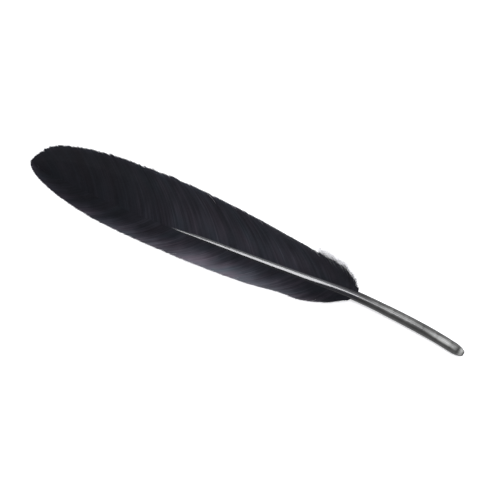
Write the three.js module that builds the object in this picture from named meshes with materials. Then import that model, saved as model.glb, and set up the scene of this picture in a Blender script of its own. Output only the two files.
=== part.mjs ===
import * as THREE from 'three';

// A black-dyed goose wing feather, uncut, as sold for quill pens. It lies back
// up: its quill end, its tip and the edges of its vane touch the table.
// Millimetres, +Z up, +X from the quill end to the tip, +Y to the narrow vane.

// ---------------------------------------------------------------- dimensions

const QUILL_LENGTH = 39.6; // bare barrel, from its trimmed end to the first barbs
const SHAFT_LENGTH = 151; // along X; the last barbs reach past it to the tip
const QUILL_RADIUS = 1.9;
const END_RADIUS = 0.9; // the trimmed flat at the quill end
const END_HOLE_RADIUS = 0.4; // the small natural opening in that flat
const END_HOLE_DEPTH = 0.7;
const END_ROUNDING = 4; // length over which the blunt end rounds off
const END_BLUNTNESS = 0.8; // 1 rounds it off evenly, less makes it blunter
const BARREL_WALL = 0.35;
const CORTEX_WALL = 0.25;
const RACHIS_WIDTH = 3.4; // at the first barbs
const RACHIS_END_WIDTH = 0.5;
const RACHIS_TAPER = 1.1; // above 1, the shaft thins sooner
const HEIGHT_TO_WIDTH = 1.05;
const SQUARING_LENGTH = 14; // the round barrel turns into the boxy rachis over this
const SQUARENESS = 0.25; // of the rachis's section: 0 is round, 1 is square
const GROOVE_DEPTH = 0.22; // groove along the underside, as a share of half the height
const GROOVE_WIDTH = 0.3; // as a share of half the width
const CAVITY_END = 116; // where the rachis turns solid, along X
const PITH_END = 113;
const CLEARANCE = 0.3; // between neighbouring solids
const VANE_THICKNESS = 0.35;
const ROOT_RISE = 0.25; // barbs leave the shaft above its middle, as a share of its width
const CAMBER_POWER = 1.8; // the vane leaves the shaft level, then falls away
const CAMBER_REACH = 6; // barbs much shorter than this hardly fall
const BARB_BOW = 0.065; // how far a barb bows, as a share of its length
const BARB_SETTLE = 0.1; // share of the shaft over which barbs lean forward fully
const FIRST_BARB_OFFSET = 0.4; // the first barb is short, but not of no length
const TIP_STATION = 145; // barbs rooted past here belong to the tip group
const TIP_ROUND_SHARE = 0.15; // share of the tip group's roots that round the shaft's end
const TIP_EXTRA_CLEARANCE = 0.1; // the tip group's flat facets cut the corner there

// The shaft's centre line from the quill end: along, sideways, up
const SHAFT_LINE = [
  [0, 0.25, 1.7], [12, -1.47, 2.35], [27, -2.65, 3], [42, -3.1, 3.5], [58, -2.2, 3.8],
  [75, -1.15, 3.85], [91, -0.3, 3.65], [106, 0.55, 3.1], [118, 1.1, 2.4],
  [135, 1.05, 1.45], [SHAFT_LENGTH, 0.1, 0.7],
];

// Each vane's outer edge seen from above: along, sideways
const VANE_TIP = [157.8, -1.1];
const WIDE_EDGE = [
  [40.2, -5.4], [44, -8.3], [49.7, -10.7], [60, -11.8], [70, -12.75], [80, -13.75],
  [94, -14.65], [108, -15.1], [120, -14.75], [132, -13.9], [143, -12.2], [151.5, -9.3],
  [156, -5.2], VANE_TIP,
];
const NARROW_EDGE = [
  [42, -1], [44.3, 0.3], [48.5, 2.75], [54, 4.75], [58.5, 5.75], [65, 6.15], [73, 7.35],
  [80, 8.1], [93, 8.75], [106, 9], [118, 8.95], [131, 8.35], [144, 6.2], [152.5, 3.5],
  [156.6, 1], VANE_TIP,
];

// lean is how far ahead of its root a barb ends, as a share of the vane's edge;
// split is the gap between two barb groups, measured along the shaft
const WIDE_VANE = {
  name: 'wide_vane_barbs', side: -1, first: 40.4, groups: 14, lean: 0.175, split: 0.8,
  edge: edgeCurve(WIDE_EDGE), edgeHeight: VANE_THICKNESS / 2,
};
const NARROW_VANE = {
  name: 'narrow_vane_barbs', side: 1, first: 41.6, groups: 12, lean: 0.12, split: 1,
  edge: edgeCurve(NARROW_EDGE), edgeHeight: 0.45,
};

const PULP_CAPS = 6;
const PULP_CAP_FIRST = 7.5; // distance of the first cap's crown from the quill end
const PULP_CAP_PITCH = 5.4;
const PULP_CAP_RADIUS = 1.15;
const PULP_CAP_DEPTH = 2.2;
const PULP_CAP_WALL = 0.2;

const DOWN_TUFTS = 4;
const DOWN_ROOT_FIRST = 41.4; // along X, on the wide vane's side
const DOWN_ROOT_PITCH = 1.2;
const DOWN_EDGE_FIRST = 0.035; // where the first tuft passes the edge, as a share of it
const DOWN_EDGE_PITCH = 0.021;
const DOWN_WIDTH = 0.7;
const DOWN_THICKNESS = 0.2;
const DOWN_NARROWING = 0.7; // share of its width that it loses towards its tip
const DOWN_DROP = 0.9; // the down leaves the shaft below its middle
const DOWN_OVERHANG = 1.8; // how far it shows past the vane's edge
const DOWN_TIP_HEIGHT = 0.15; // of its middle, above the table
const DOWN_SAG = 0.36; // below 1, it drops early and then lies flat

// How finely the solids are faceted: sides round them, steps along them
const BARREL_SIDES = 16;
const BARREL_STEPS = 6;
const BARREL_EVEN_FROM = 8; // past the rounded end, the steps are even
const BARREL_END_STATIONS = [0, 0.5, 1.2, 2.2, END_ROUNDING];
const CORTEX_SIDES = 14;
const CORTEX_STEPS = 18;
const CAVITY_STEPS = 12;
const PITH_SIDES = 10;
const PITH_STEPS = 10;
const CAP_SIDES = 12;
const CAP_STEPS = 4;
const GROUP_STEPS = [3, 7]; // along the shaft, along the barbs
const TIP_STEPS = [12, 4]; // round the fan, along the barbs
const DOWN_STEPS = [1, 6]; // across and along a tuft
const SEARCH_STEPS = 30; // halvings that find a place on the shaft

// ----------------------------------------------------------------- materials

function matter(color, roughness) {
  return new THREE.MeshStandardMaterial({ color, roughness, metalness: 0 });
}

const barrelHorn = matter(0x4a4b50, 0.28);
const rachisHorn = matter(0x33343a, 0.25);
const pithFoam = matter(0x8d8a86, 0.9);
const membrane = matter(0x77767a, 0.6);
const vaneBlack = matter(0x222329, 0.7);
const downGrey = matter(0x8f9196, 0.9);

// ------------------------------------------------------------ curves, sections

function edgeCurve(points) {
  return new THREE.SplineCurve(points.map(([x, y]) => new THREE.Vector2(x, y)));
}

const shaftCurve = new THREE.CatmullRomCurve3(
  SHAFT_LINE.map(([x, y, z]) => new THREE.Vector3(x, y, z)), false, 'catmullrom', 0.5,
);

// The shaft's centre line at a distance along X, and the directions there
function shaftAt(x) {
  let low = 0;
  let high = 1;
  for (let step = 0; step < SEARCH_STEPS; step += 1) {
    const middle = (low + high) / 2;
    if (shaftCurve.getPoint(middle).x < x) low = middle;
    else high = middle;
  }
  const tangent = shaftCurve.getTangent(low);
  const sideways = new THREE.Vector3(-tangent.y, tangent.x, 0).normalize();
  const up = new THREE.Vector3().crossVectors(tangent, sideways);
  return { centre: shaftCurve.getPoint(low), tangent, sideways, up };
}

function rachisWidth(x) {
  const share = (x - QUILL_LENGTH) / (SHAFT_LENGTH - QUILL_LENGTH);
  const left = 1 - THREE.MathUtils.clamp(share, 0, 1);
  return RACHIS_END_WIDTH + (RACHIS_WIDTH - RACHIS_END_WIDTH) * left ** RACHIS_TAPER;
}

// The barrel is blunt at its end, keeps its width, then narrows to the rachis
function barrelRadius(x) {
  const turn = Math.min(x / END_ROUNDING, 1) ** END_BLUNTNESS * (Math.PI / 2);
  const blunt = END_RADIUS + (QUILL_RADIUS - END_RADIUS) * Math.sin(turn);
  const narrowing = THREE.MathUtils.smoothstep(x, QUILL_LENGTH / 2, QUILL_LENGTH);
  return blunt - (QUILL_RADIUS - RACHIS_WIDTH / 2) * narrowing;
}

// A cosine or sine whose curve is flattened into that of a rounded box
function boxy(value, power) {
  return Math.sign(value) * Math.abs(value) ** power;
}

// A ring of points round the shaft: a circle on the barrel, a rounded box with
// a groove below on the rachis. half is half its width.
function shaftRing(x, count, half) {
  const { centre, sideways, up } = shaftAt(x);
  const onRachis = THREE.MathUtils.smoothstep(x, QUILL_LENGTH, QUILL_LENGTH + SQUARING_LENGTH);
  const power = 1 - SQUARENESS * onRachis;
  const height = half * (1 + (HEIGHT_TO_WIDTH - 1) * onRachis);
  return Array.from({ length: count }, (_, k) => {
    const angle = (2 * Math.PI * k) / count;
    const across = boxy(Math.cos(angle), power);
    const rise = boxy(Math.sin(angle), power);
    const groove = GROOVE_DEPTH * onRachis * Math.exp(-((across / GROOVE_WIDTH) ** 2));
    return centre.clone()
      .addScaledVector(sideways, half * across)
      .addScaledVector(up, height * (rise < 0 ? rise + groove : rise));
  });
}

// --------------------------------------------------------------- solid makers

// A closed geometry, with its faces turned outwards
function closedSolid(points, triangles) {
  const sixVolumes = triangles.reduce((sum, [a, b, c]) => (
    sum + points[a].dot(new THREE.Vector3().crossVectors(points[b], points[c]))
  ), 0);
  const outward = sixVolumes > 0 ? triangles : triangles.map(([a, b, c]) => [a, c, b]);
  const geometry = new THREE.BufferGeometry().setFromPoints(points);
  geometry.setIndex(outward.flat());
  geometry.computeVertexNormals();
  return geometry;
}

// A skin over rings of equal count. A ring of one point closes an end; with
// joined set, the last ring meets the first, as in a tube with a bore.
function loft(rings, joined = false) {
  const starts = [];
  const points = [];
  rings.forEach((ring) => {
    starts.push(points.length);
    points.push(...ring);
  });
  const triangles = [];
  for (let i = 0; i < rings.length - (joined ? 0 : 1); i += 1) {
    const j = (i + 1) % rings.length;
    const here = (k) => starts[i] + (k % rings[i].length);
    const next = (k) => starts[j] + (k % rings[j].length);
    for (let k = 0; k < Math.max(rings[i].length, rings[j].length); k += 1) {
      if (rings[i].length > 1) triangles.push([here(k), here(k + 1), next(k)]);
      if (rings[j].length > 1) triangles.push([here(k + 1), next(k + 1), next(k)]);
    }
  }
  return closedSolid(points, triangles);
}

// A thin solid about the middle surface pointAt(u, v), its thickness along Z
function sheet(pointAt, [across, along], thickness) {
  const row = along + 1;
  const layer = (across + 1) * row;
  const points = [];
  for (const lift of [thickness / 2, -thickness / 2]) {
    for (let i = 0; i <= across; i += 1) {
      for (let j = 0; j <= along; j += 1) {
        const point = pointAt(i / across, j / along);
        points.push(new THREE.Vector3(point.x, point.y, point.z + lift));
      }
    }
  }
  const triangles = [];
  const quad = (a, b, c, d) => triangles.push([a, b, c], [a, c, d]);
  for (let i = 0; i < across; i += 1) {
    for (let j = 0; j < along; j += 1) {
      const a = i * row + j;
      quad(a, a + row, a + row + 1, a + 1);
      quad(layer + a, layer + a + 1, layer + a + row + 1, layer + a + row);
    }
  }
  const rim = [];
  for (let i = 0; i < across; i += 1) rim.push(i * row);
  for (let j = 0; j < along; j += 1) rim.push(across * row + j);
  for (let i = across; i > 0; i -= 1) rim.push(i * row + along);
  for (let j = along; j > 0; j -= 1) rim.push(j);
  rim.forEach((a, k) => {
    const b = rim[(k + 1) % rim.length];
    quad(a, layer + a, layer + b, b);
  });
  return closedSolid(points, triangles);
}

function stations(from, to, steps) {
  return Array.from({ length: steps + 1 }, (_, i) => from + ((to - from) * i) / steps);
}

// ---------------------------------------------------------------------- shaft

// The hollow barrel: blunt and nearly closed at the quill end, open at the other
function calamusBarrel() {
  const even = stations(BARREL_EVEN_FROM, QUILL_LENGTH - CLEARANCE, BARREL_STEPS);
  const outer = [...BARREL_END_STATIONS, ...even];
  const inner = [...[...even].reverse(), END_ROUNDING];
  return loft([
    ...outer.map((x) => shaftRing(x, BARREL_SIDES, barrelRadius(x))),
    ...inner.map((x) => shaftRing(x, BARREL_SIDES, barrelRadius(x) - BARREL_WALL)),
    shaftRing(END_HOLE_DEPTH, BARREL_SIDES, END_HOLE_RADIUS),
    shaftRing(0, BARREL_SIDES, END_HOLE_RADIUS),
  ], true);
}

// The horn skin of the rachis: open to the barrel, closed towards the tip
function rachisCortex() {
  const outer = stations(QUILL_LENGTH, SHAFT_LENGTH, CORTEX_STEPS);
  const inner = stations(QUILL_LENGTH, CAVITY_END, CAVITY_STEPS).reverse();
  return loft([
    [shaftAt(CAVITY_END + CLEARANCE).centre],
    ...inner.map((x) => shaftRing(x, CORTEX_SIDES, rachisWidth(x) / 2 - CORTEX_WALL)),
    ...outer.map((x) => shaftRing(x, CORTEX_SIDES, rachisWidth(x) / 2)),
    [shaftAt(SHAFT_LENGTH).centre.add(new THREE.Vector3(CLEARANCE, 0, 0))],
  ]);
}

// The foamy core inside the rachis
function rachisPith() {
  const inset = CORTEX_WALL + CLEARANCE;
  const first = QUILL_LENGTH + CLEARANCE;
  return loft([
    [shaftAt(first).centre],
    ...stations(first, PITH_END, PITH_STEPS).map((x) => (
      shaftRing(x, PITH_SIDES, rachisWidth(x) / 2 - inset)
    )),
    [shaftAt(PITH_END).centre],
  ]);
}

// A dried membrane cup, one of the chain that the shrinking pulp left behind
function pulpCapShape() {
  const turns = stations(0, Math.PI / 2, CAP_STEPS);
  const dome = (radius, top) => turns.map((turn) => new THREE.Vector2(
    radius * Math.sin(turn), top - (top + PULP_CAP_DEPTH) * (1 - Math.cos(turn)),
  ));
  const outside = dome(PULP_CAP_RADIUS, 0);
  const inside = dome(PULP_CAP_RADIUS - PULP_CAP_WALL, -PULP_CAP_WALL);
  return new THREE.LatheGeometry([...inside, ...outside.reverse()], CAP_SIDES);
}

function pulpCap(x) {
  const { centre, tangent } = shaftAt(x);
  const cap = new THREE.Mesh(pulpCapShape(), membrane);
  cap.position.copy(centre);
  cap.quaternion.setFromUnitVectors(new THREE.Vector3(0, 1, 0), tangent);
  return cap;
}

// ---------------------------------------------------------------------- vanes

// The share of the vane's edge that the barb rooted at x reaches
function edgeShare(vane, x) {
  const rooted = (x - vane.first) / (SHAFT_LENGTH - vane.first);
  const settled = 1 - Math.exp(-rooted / BARB_SETTLE);
  return rooted + vane.lean * settled * (1 - rooted);
}

// A point on a barb, from its root (out = 0) to the vane's edge (out = 1).
// bow is signed: it bends the barb back towards the quill, then forward.
function barbPoint(root, edge, edgeHeight, bow, out) {
  const span = new THREE.Vector2(edge.x - root.x, edge.y - root.y);
  const aside = 4 * out * (1 - out) * bow;
  const reach = 1 - Math.exp(-((span.length() / CAMBER_REACH) ** 2));
  const fall = (root.z - edgeHeight) * reach * out ** CAMBER_POWER;
  return new THREE.Vector3(
    root.x + span.x * out - span.y * aside,
    root.y + span.y * out + span.x * aside,
    root.z - fall,
  );
}

function barbRoot(x, side) {
  const { centre, sideways } = shaftAt(x);
  const standOff = rachisWidth(x) / 2 + CLEARANCE;
  const root = centre.addScaledVector(sideways, side * standOff);
  root.z += ROOT_RISE * rachisWidth(x);
  return root;
}

// The barbs rooted between two places on the shaft, zipped into one web
function barbGroup(vane, from, to) {
  return sheet((u, v) => {
    const x = THREE.MathUtils.lerp(from, to, u);
    const edge = vane.edge.getPointAt(edgeShare(vane, x));
    return barbPoint(barbRoot(x, vane.side), edge, vane.edgeHeight, vane.side * BARB_BOW, v);
  }, GROUP_STEPS, VANE_THICKNESS);
}

// The last barbs, which fan out round the end of the shaft from side to side
function tipGroup() {
  return sheet((u, v) => {
    const turn = 2 * u - 1; // -1 on the wide side, 1 on the narrow side
    const away = Math.abs(turn);
    const vane = turn < 0 ? WIDE_VANE : NARROW_VANE;
    const firstRoot = TIP_STATION + vane.split / 2;
    const straight = Math.max(0, (away - TIP_ROUND_SHARE) / (1 - TIP_ROUND_SHARE));
    const x = THREE.MathUtils.lerp(SHAFT_LENGTH, firstRoot, straight);
    const angle = THREE.MathUtils.clamp(turn / TIP_ROUND_SHARE, -1, 1) * (Math.PI / 2);
    const { centre, tangent, sideways } = shaftAt(x);
    const standOff = rachisWidth(x) / 2 + CLEARANCE + TIP_EXTRA_CLEARANCE;
    const root = centre.addScaledVector(tangent, standOff * Math.cos(angle))
      .addScaledVector(sideways, standOff * Math.sin(angle));
    root.z += ROOT_RISE * rachisWidth(x);
    const share = THREE.MathUtils.lerp(1, edgeShare(vane, firstRoot), away);
    const height = THREE.MathUtils.lerp(
      WIDE_VANE.edgeHeight, NARROW_VANE.edgeHeight, (turn + 1) / 2,
    );
    return barbPoint(root, vane.edge.getPointAt(share), height, turn * BARB_BOW, v);
  }, TIP_STEPS, VANE_THICKNESS);
}

// A wisp of loose down that leaves the shaft under the wide vane's first barbs
function downTuft(index) {
  const { centre, sideways, up } = shaftAt(DOWN_ROOT_FIRST + DOWN_ROOT_PITCH * index);
  const share = DOWN_EDGE_FIRST + DOWN_EDGE_PITCH * index;
  const standOff = rachisWidth(QUILL_LENGTH) / 2 + CLEARANCE;
  const root = centre.addScaledVector(sideways, -standOff).addScaledVector(up, -DOWN_DROP);
  const edge = WIDE_VANE.edge.getPointAt(share);
  const outward = new THREE.Vector2(edge.x - root.x, edge.y - root.y);
  const length = outward.length() + DOWN_OVERHANG;
  outward.normalize();
  return sheet((u, v) => {
    const aside = (u - 0.5) * DOWN_WIDTH * (1 - DOWN_NARROWING * v);
    return new THREE.Vector3(
      root.x + outward.x * length * v - outward.y * aside,
      root.y + outward.y * length * v + outward.x * aside,
      THREE.MathUtils.lerp(root.z, DOWN_TIP_HEIGHT, v ** DOWN_SAG),
    );
  }, DOWN_STEPS, DOWN_THICKNESS);
}

// ------------------------------------------------------------------- assembly

const feather = new THREE.Group();

function add(name, mesh) {
  mesh.name = name;
  feather.add(mesh);
}

function addVane(vane) {
  const start = vane.first + FIRST_BARB_OFFSET;
  const pitch = (TIP_STATION - start) / vane.groups;
  for (let i = 0; i < vane.groups; i += 1) {
    const from = start + pitch * i + vane.split / 2;
    const group = barbGroup(vane, from, from + pitch - vane.split);
    add(`${vane.name}_${String(i + 1).padStart(2, '0')}`, new THREE.Mesh(group, vaneBlack));
  }
}

add('calamus_barrel', new THREE.Mesh(calamusBarrel(), barrelHorn));
for (let i = 0; i < PULP_CAPS; i += 1) {
  add(`pulp_cap_${i + 1}`, pulpCap(PULP_CAP_FIRST + PULP_CAP_PITCH * i));
}
add('rachis_cortex', new THREE.Mesh(rachisCortex(), rachisHorn));
add('rachis_pith', new THREE.Mesh(rachisPith(), pithFoam));
addVane(WIDE_VANE);
addVane(NARROW_VANE);
add('tip_barbs', new THREE.Mesh(tipGroup(), vaneBlack));
for (let i = 0; i < DOWN_TUFTS; i += 1) {
  add(`down_tuft_${i + 1}`, new THREE.Mesh(downTuft(i), downGrey));
}

// The origin is at the middle of the feather's footprint, on the table
const box = new THREE.Box3().setFromObject(feather, true);
const middle = box.getCenter(new THREE.Vector3());
feather.position.set(-middle.x, -middle.y, -box.min.z);

export default feather;
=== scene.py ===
import math

import bpy
import numpy as np
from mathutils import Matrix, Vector


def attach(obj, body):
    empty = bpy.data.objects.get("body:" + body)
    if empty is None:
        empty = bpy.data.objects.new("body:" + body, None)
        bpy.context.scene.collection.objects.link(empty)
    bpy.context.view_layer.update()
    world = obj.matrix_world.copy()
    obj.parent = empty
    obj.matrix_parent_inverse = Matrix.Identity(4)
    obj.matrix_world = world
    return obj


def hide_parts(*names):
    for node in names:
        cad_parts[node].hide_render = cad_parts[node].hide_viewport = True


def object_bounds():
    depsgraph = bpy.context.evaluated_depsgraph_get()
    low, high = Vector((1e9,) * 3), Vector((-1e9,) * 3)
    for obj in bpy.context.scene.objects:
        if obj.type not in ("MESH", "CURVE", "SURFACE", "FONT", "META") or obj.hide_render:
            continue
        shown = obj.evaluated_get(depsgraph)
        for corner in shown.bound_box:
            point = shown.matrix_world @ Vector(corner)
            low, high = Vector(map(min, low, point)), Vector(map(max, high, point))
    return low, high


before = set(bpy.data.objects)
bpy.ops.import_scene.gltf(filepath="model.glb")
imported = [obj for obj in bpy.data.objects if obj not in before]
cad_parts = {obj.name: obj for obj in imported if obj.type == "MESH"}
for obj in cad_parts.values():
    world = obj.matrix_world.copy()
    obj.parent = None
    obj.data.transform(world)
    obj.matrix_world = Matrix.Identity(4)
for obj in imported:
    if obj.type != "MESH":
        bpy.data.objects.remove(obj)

# One black-dyed goose feather, lying back up. Every barb is its own blade.
# Shapes are worked out in millimetres, with x from the quill's end to the tip
# and y towards the narrow vane, and go to the frame's metres in to_frame().

CAD_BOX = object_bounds()
MM = 0.001

# ------------------------------------------------------------------ dimensions

QUILL_LENGTH = 39.6  # the barrel, from its end to the rachis
SHAFT_LENGTH = 151.0  # the barrel and the rachis
QUILL_RADIUS = 1.9
END_RADIUS = 0.9
END_HOLE_RADIUS = 0.4
END_ROUNDING = 4.0  # how far from its end the barrel has its full radius
END_BLUNTNESS = 0.8  # below 1 is blunter
BARREL_WALL = 0.35
RACHIS_WIDTH = 3.4
RACHIS_END_WIDTH = 0.5
RACHIS_TAPER = 1.1  # 1 is a straight taper
HEIGHT_TO_WIDTH = 1.05
SQUARING_LENGTH = 22.0  # over which the round shaft turns squarish and grooved
GROOVE_DEPTH = 0.22  # as a share of the shaft's half height
GROOVE_WIDTH = 0.3  # as a share of its half width
FLATTENING = 0.42  # how flat the rachis's back is: 0 is round, 1 is square
TWIST = math.radians(8)  # how far the rachis's back leans towards the wide vane
CORTEX_WALL = 0.25
CAVITY_END = 116.0  # beyond it the rachis is solid horn
PITH_END = 115.0

BARB_PITCH = 0.42  # between barb roots, along the shaft
FIRST_BARB_OFFSET = 0.4  # of the first barb's root from the foot of its vane
BARB_BOW = 0.065  # how far a barb's middle bows quillwards, as a share of its length
BARB_SETTLE = 0.1  # the share of a vane over which its barbs come to lean forward
CAMBER_POWER = 1.8  # how late a barb turns down towards its end
CAMBER_REACH = 6.0  # barbs not much longer than this turn down less
ROOT_TUCK = 0.06  # how far the narrow vane's roots lie under the wide vane's at last
EDGE_WAVE = 0.45  # how far the vane's edge waves up and down
EDGE_WAVES = [(47, 0.65), (19, 0.35)]
EDGE_CALMING = 0.8  # the share of its waving that the edge loses towards the tip
EDGE_CALMS_FROM = 112.0
TIP_STATION = 145.0  # from here on the barbs fan round the shaft's end

# The shaft's middle line: x, y and height
SHAFT_LINE = [
    (0, 0.25, 1.7), (12, -1.47, 2.35), (27, -2.65, 3), (42, -3.1, 3.5), (58, -2.2, 3.8),
    (75, -1.15, 3.85), (91, -0.3, 3.65), (106, 0.55, 3.1), (118, 1.1, 2.4),
    (135, 1.05, 1.45), (SHAFT_LENGTH, 0.1, 0.7),
]
# The vanes' edges: x and y
VANE_TIP = (157.8, -1.1)
WIDE_EDGE = [
    (40.2, -5.4), (44, -8.3), (49.7, -10.7), (60, -11.8), (70, -12.75), (80, -13.75),
    (94, -14.65), (108, -15.1), (120, -14.75), (132, -13.9), (143, -12.2), (151.5, -9.3),
    (156, -5.2), VANE_TIP,
]
NARROW_EDGE = [
    (42, -1), (44.3, 0.3), (48.5, 2.75), (54, 4.75), (58.5, 5.75), (65, 6.15), (73, 7.35),
    (80, 8.1), (93, 8.75), (106, 9), (118, 8.95), (131, 8.35), (144, 6.2), (152.5, 3.5),
    (156.6, 1), VANE_TIP,
]

BARREL_END = QUILL_LENGTH + 0.2
SKIN_LAP = 0.1  # how far the rachis's skin begins inside the barrel's end
PULP_CAPS = 6
PULP_CAP_FIRST = 7.5
PULP_CAP_PITCH = 5.4
PULP_CAP_DEPTH = 2.2
PULP_CAP_RADIUS = 1.45

CURVE_STEPS = 40  # between two points of a curve


# ---------------------------------------------------------------------- curves

def catmull_rom(points, end_pull):
    """A dense polyline through points; end_pull is 1 for straight ends, 0.5 for soft ones."""
    p = np.array(points, float)
    slopes = np.empty_like(p)
    slopes[1:-1] = (p[2:] - p[:-2]) / 2
    slopes[0] = (p[1] - p[0]) * end_pull
    slopes[-1] = (p[-1] - p[-2]) * end_pull
    t = np.linspace(0, 1, CURVE_STEPS, endpoint=False)[:, None]
    rows = []
    for a, b, sa, sb in zip(p[:-1], p[1:], slopes[:-1], slopes[1:]):
        rows.append(
            a + sa * t + (3 * (b - a) - 2 * sa - sb) * t**2 + (2 * (a - b) + sa + sb) * t**3
        )
    return np.vstack(rows + [p[-1:]])


def arc_lengths(line):
    """The way along line from its start to each of its points."""
    steps = np.linalg.norm(np.diff(line, axis=0), axis=1)
    return np.concatenate([[0], np.cumsum(steps)])


class Vane:
    """One side of the feather: its outer edge, and how its barbs run to it. side is
    -1 or 1, first is where the vane begins, groups is how many pieces it makes, lean is
    how far forward the barbs reach as a share of the edge, and edge_rest is the edge's
    lowest height."""

    def __init__(self, name, side, first, groups, lean, edge, edge_rest):
        self.name = name
        self.side = side
        self.first = first
        self.groups = groups
        self.lean = lean
        self.edge_rest = edge_rest
        self.line = catmull_rom(edge, 0.5)
        self.lengths = arc_lengths(self.line) / arc_lengths(self.line)[-1]

    def edge_point(self, share):
        return np.stack([np.interp(share, self.lengths, self.line[:, k]) for k in (0, 1)], -1)

    def edge_height(self, x):
        """How far off the table the barb rooted at x ends: the edge waves a little."""
        wave = 1 + ripple(x, EDGE_WAVES, 60 + self.side)
        calm = 1 - EDGE_CALMING * smoothstep(x, EDGE_CALMS_FROM, TIP_STATION)
        return self.edge_rest + EDGE_WAVE * wave * calm

    def edge_share(self, x):
        """The share of the edge that the barb rooted at x reaches."""
        rooted = (x - self.first) / (SHAFT_LENGTH - self.first)
        settled = 1 - np.exp(-np.maximum(rooted, 0) / BARB_SETTLE)
        return np.clip(rooted + self.lean * settled * (1 - rooted), 0, 1)


WIDE = Vane("wide", side=-1, first=40.4, groups=14, lean=0.175,
            edge=WIDE_EDGE, edge_rest=0.175)
NARROW = Vane("narrow", side=1, first=41.6, groups=12, lean=0.12,
              edge=NARROW_EDGE, edge_rest=0.45)

SHAFT = catmull_rom(SHAFT_LINE, 1.0)
SHAFT_SLOPE = np.gradient(SHAFT, axis=0)
SHAFT_SLOPE /= np.linalg.norm(SHAFT_SLOPE, axis=1)[:, None]

# The CAD box places the feather's own axes: its tip is the box's far end, and
# the wide vane's edge is the box's low side.
SHIFT = np.array([
    CAD_BOX[1].x / MM - VANE_TIP[0],
    CAD_BOX[0].y / MM - WIDE.line[:, 1].min(),
    0,
])


def to_frame(points):
    """From the feather's millimetres to the frame's metres."""
    return (np.asarray(points) + SHIFT) * MM


def unit(v):
    return v / np.maximum(np.linalg.norm(v, axis=-1, keepdims=True), 1e-9)


def shaft_at(x):
    """The shaft's centre line at distances x, and its forward, sideways and upward
    directions there."""
    x = np.asarray(x, float)
    centre = np.stack([np.interp(x, SHAFT[:, 0], SHAFT[:, k]) for k in range(3)], -1)
    beyond = np.maximum(x - SHAFT_LENGTH, 0)[..., None]
    tangent = unit(np.stack(
        [np.interp(x, SHAFT[:, 0], SHAFT_SLOPE[:, k]) for k in range(3)], -1))
    centre = centre + beyond * tangent
    sideways = unit(np.stack([-tangent[..., 1], tangent[..., 0], 0 * x], -1))
    return centre, tangent, sideways, np.cross(tangent, sideways)


def smoothstep(x, low, high):
    t = np.clip((x - low) / (high - low), 0, 1)
    return t * t * (3 - 2 * t)


def hump(x, middle, width):
    """1 at middle, and nearly 0 from twice width away from it."""
    return np.exp(-(((x - middle) / width) ** 2))


def rachis_width(x):
    left = 1 - np.clip((x - QUILL_LENGTH) / (SHAFT_LENGTH - QUILL_LENGTH), 0, 1)
    return RACHIS_END_WIDTH + (RACHIS_WIDTH - RACHIS_END_WIDTH) * left**RACHIS_TAPER


def barrel_radius(x):
    turn = np.clip(x / END_ROUNDING, 0, 1) ** END_BLUNTNESS * math.pi / 2
    blunt = END_RADIUS + (QUILL_RADIUS - END_RADIUS) * np.sin(turn)
    narrowing = smoothstep(x, QUILL_LENGTH / 2, QUILL_LENGTH)
    return blunt - (QUILL_RADIUS - RACHIS_WIDTH / 2) * narrowing


def ripple(x, waves, seed):
    """A smooth wander about 0 with a size of about 1, from waves of (length, weight)."""
    phases = np.random.default_rng(seed).uniform(0, 2 * math.pi, len(waves))
    return sum(w * np.sin(2 * math.pi * x / length + p)
               for (length, w), p in zip(waves, phases))


# ------------------------------------------------------------------ mesh makers

CREASE = math.radians(55)  # edges sharper than this stay crisp


def make_piece(name, points, faces, material, replaces=(), floats=None, vectors=None):
    """A smooth mesh in the frame, riding on the feather's one body."""
    mesh = bpy.data.meshes.new(name)
    mesh.from_pydata(to_frame(points).tolist(), [], faces)
    mesh.update()
    for key, values in (floats or {}).items():
        layer = mesh.attributes.new(key, "FLOAT", "POINT")
        layer.data.foreach_set("value", np.asarray(values, np.float32).ravel())
    for key, values in (vectors or {}).items():
        layer = mesh.attributes.new(key, "FLOAT_VECTOR", "POINT")
        layer.data.foreach_set("vector", np.asarray(values, np.float32).ravel())
    mesh.polygons.foreach_set("use_smooth", np.ones(len(mesh.polygons), bool))
    mesh.set_sharp_from_angle(angle=CREASE)
    mesh.materials.append(material)
    piece = bpy.data.objects.new(name, mesh)
    bpy.context.scene.collection.objects.link(piece)
    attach(piece, "root")
    if replaces:
        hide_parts(*replaces)


def ring_faces(rings, count, first=0, closed_path=False):
    """Quads between successive rings of count points each."""
    faces = []
    for i in range(rings if closed_path else rings - 1):
        a = first + i * count
        b = first + ((i + 1) % rings) * count
        for k in range(count):
            n = (k + 1) % count
            faces.append((a + k, a + n, b + n, b + k))
    return faces


def end_caps(rings, count):
    """The two end faces of a solid made of rings."""
    last = (rings - 1) * count
    return [tuple(reversed(range(count))), tuple(last + k for k in range(count))]


def merge(parts):
    """One mesh out of several pairs of points and faces."""
    points, faces, base = [], [], 0
    for p, f in parts:
        points.append(p)
        faces += [tuple(base + i for i in face) for face in f]
        base += len(p)
    return np.vstack(points), faces


# ------------------------------------------------------------------- materials

def new_material(name):
    material = bpy.data.materials.new(name)
    material.use_nodes = True
    tree = material.node_tree
    return material, tree, tree.nodes["Principled BSDF"]


def add_node(tree, kind, inputs=None, **settings):
    node = tree.nodes.new(kind)
    for key, value in settings.items():
        setattr(node, key, value)
    for key, value in (inputs or {}).items():
        if isinstance(value, bpy.types.NodeSocket):
            tree.links.new(value, node.inputs[key])
        else:
            node.inputs[key].default_value = value
    return node


def attribute(tree, name, output="Fac"):
    return add_node(tree, "ShaderNodeAttribute", attribute_name=name).outputs[output]


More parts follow.
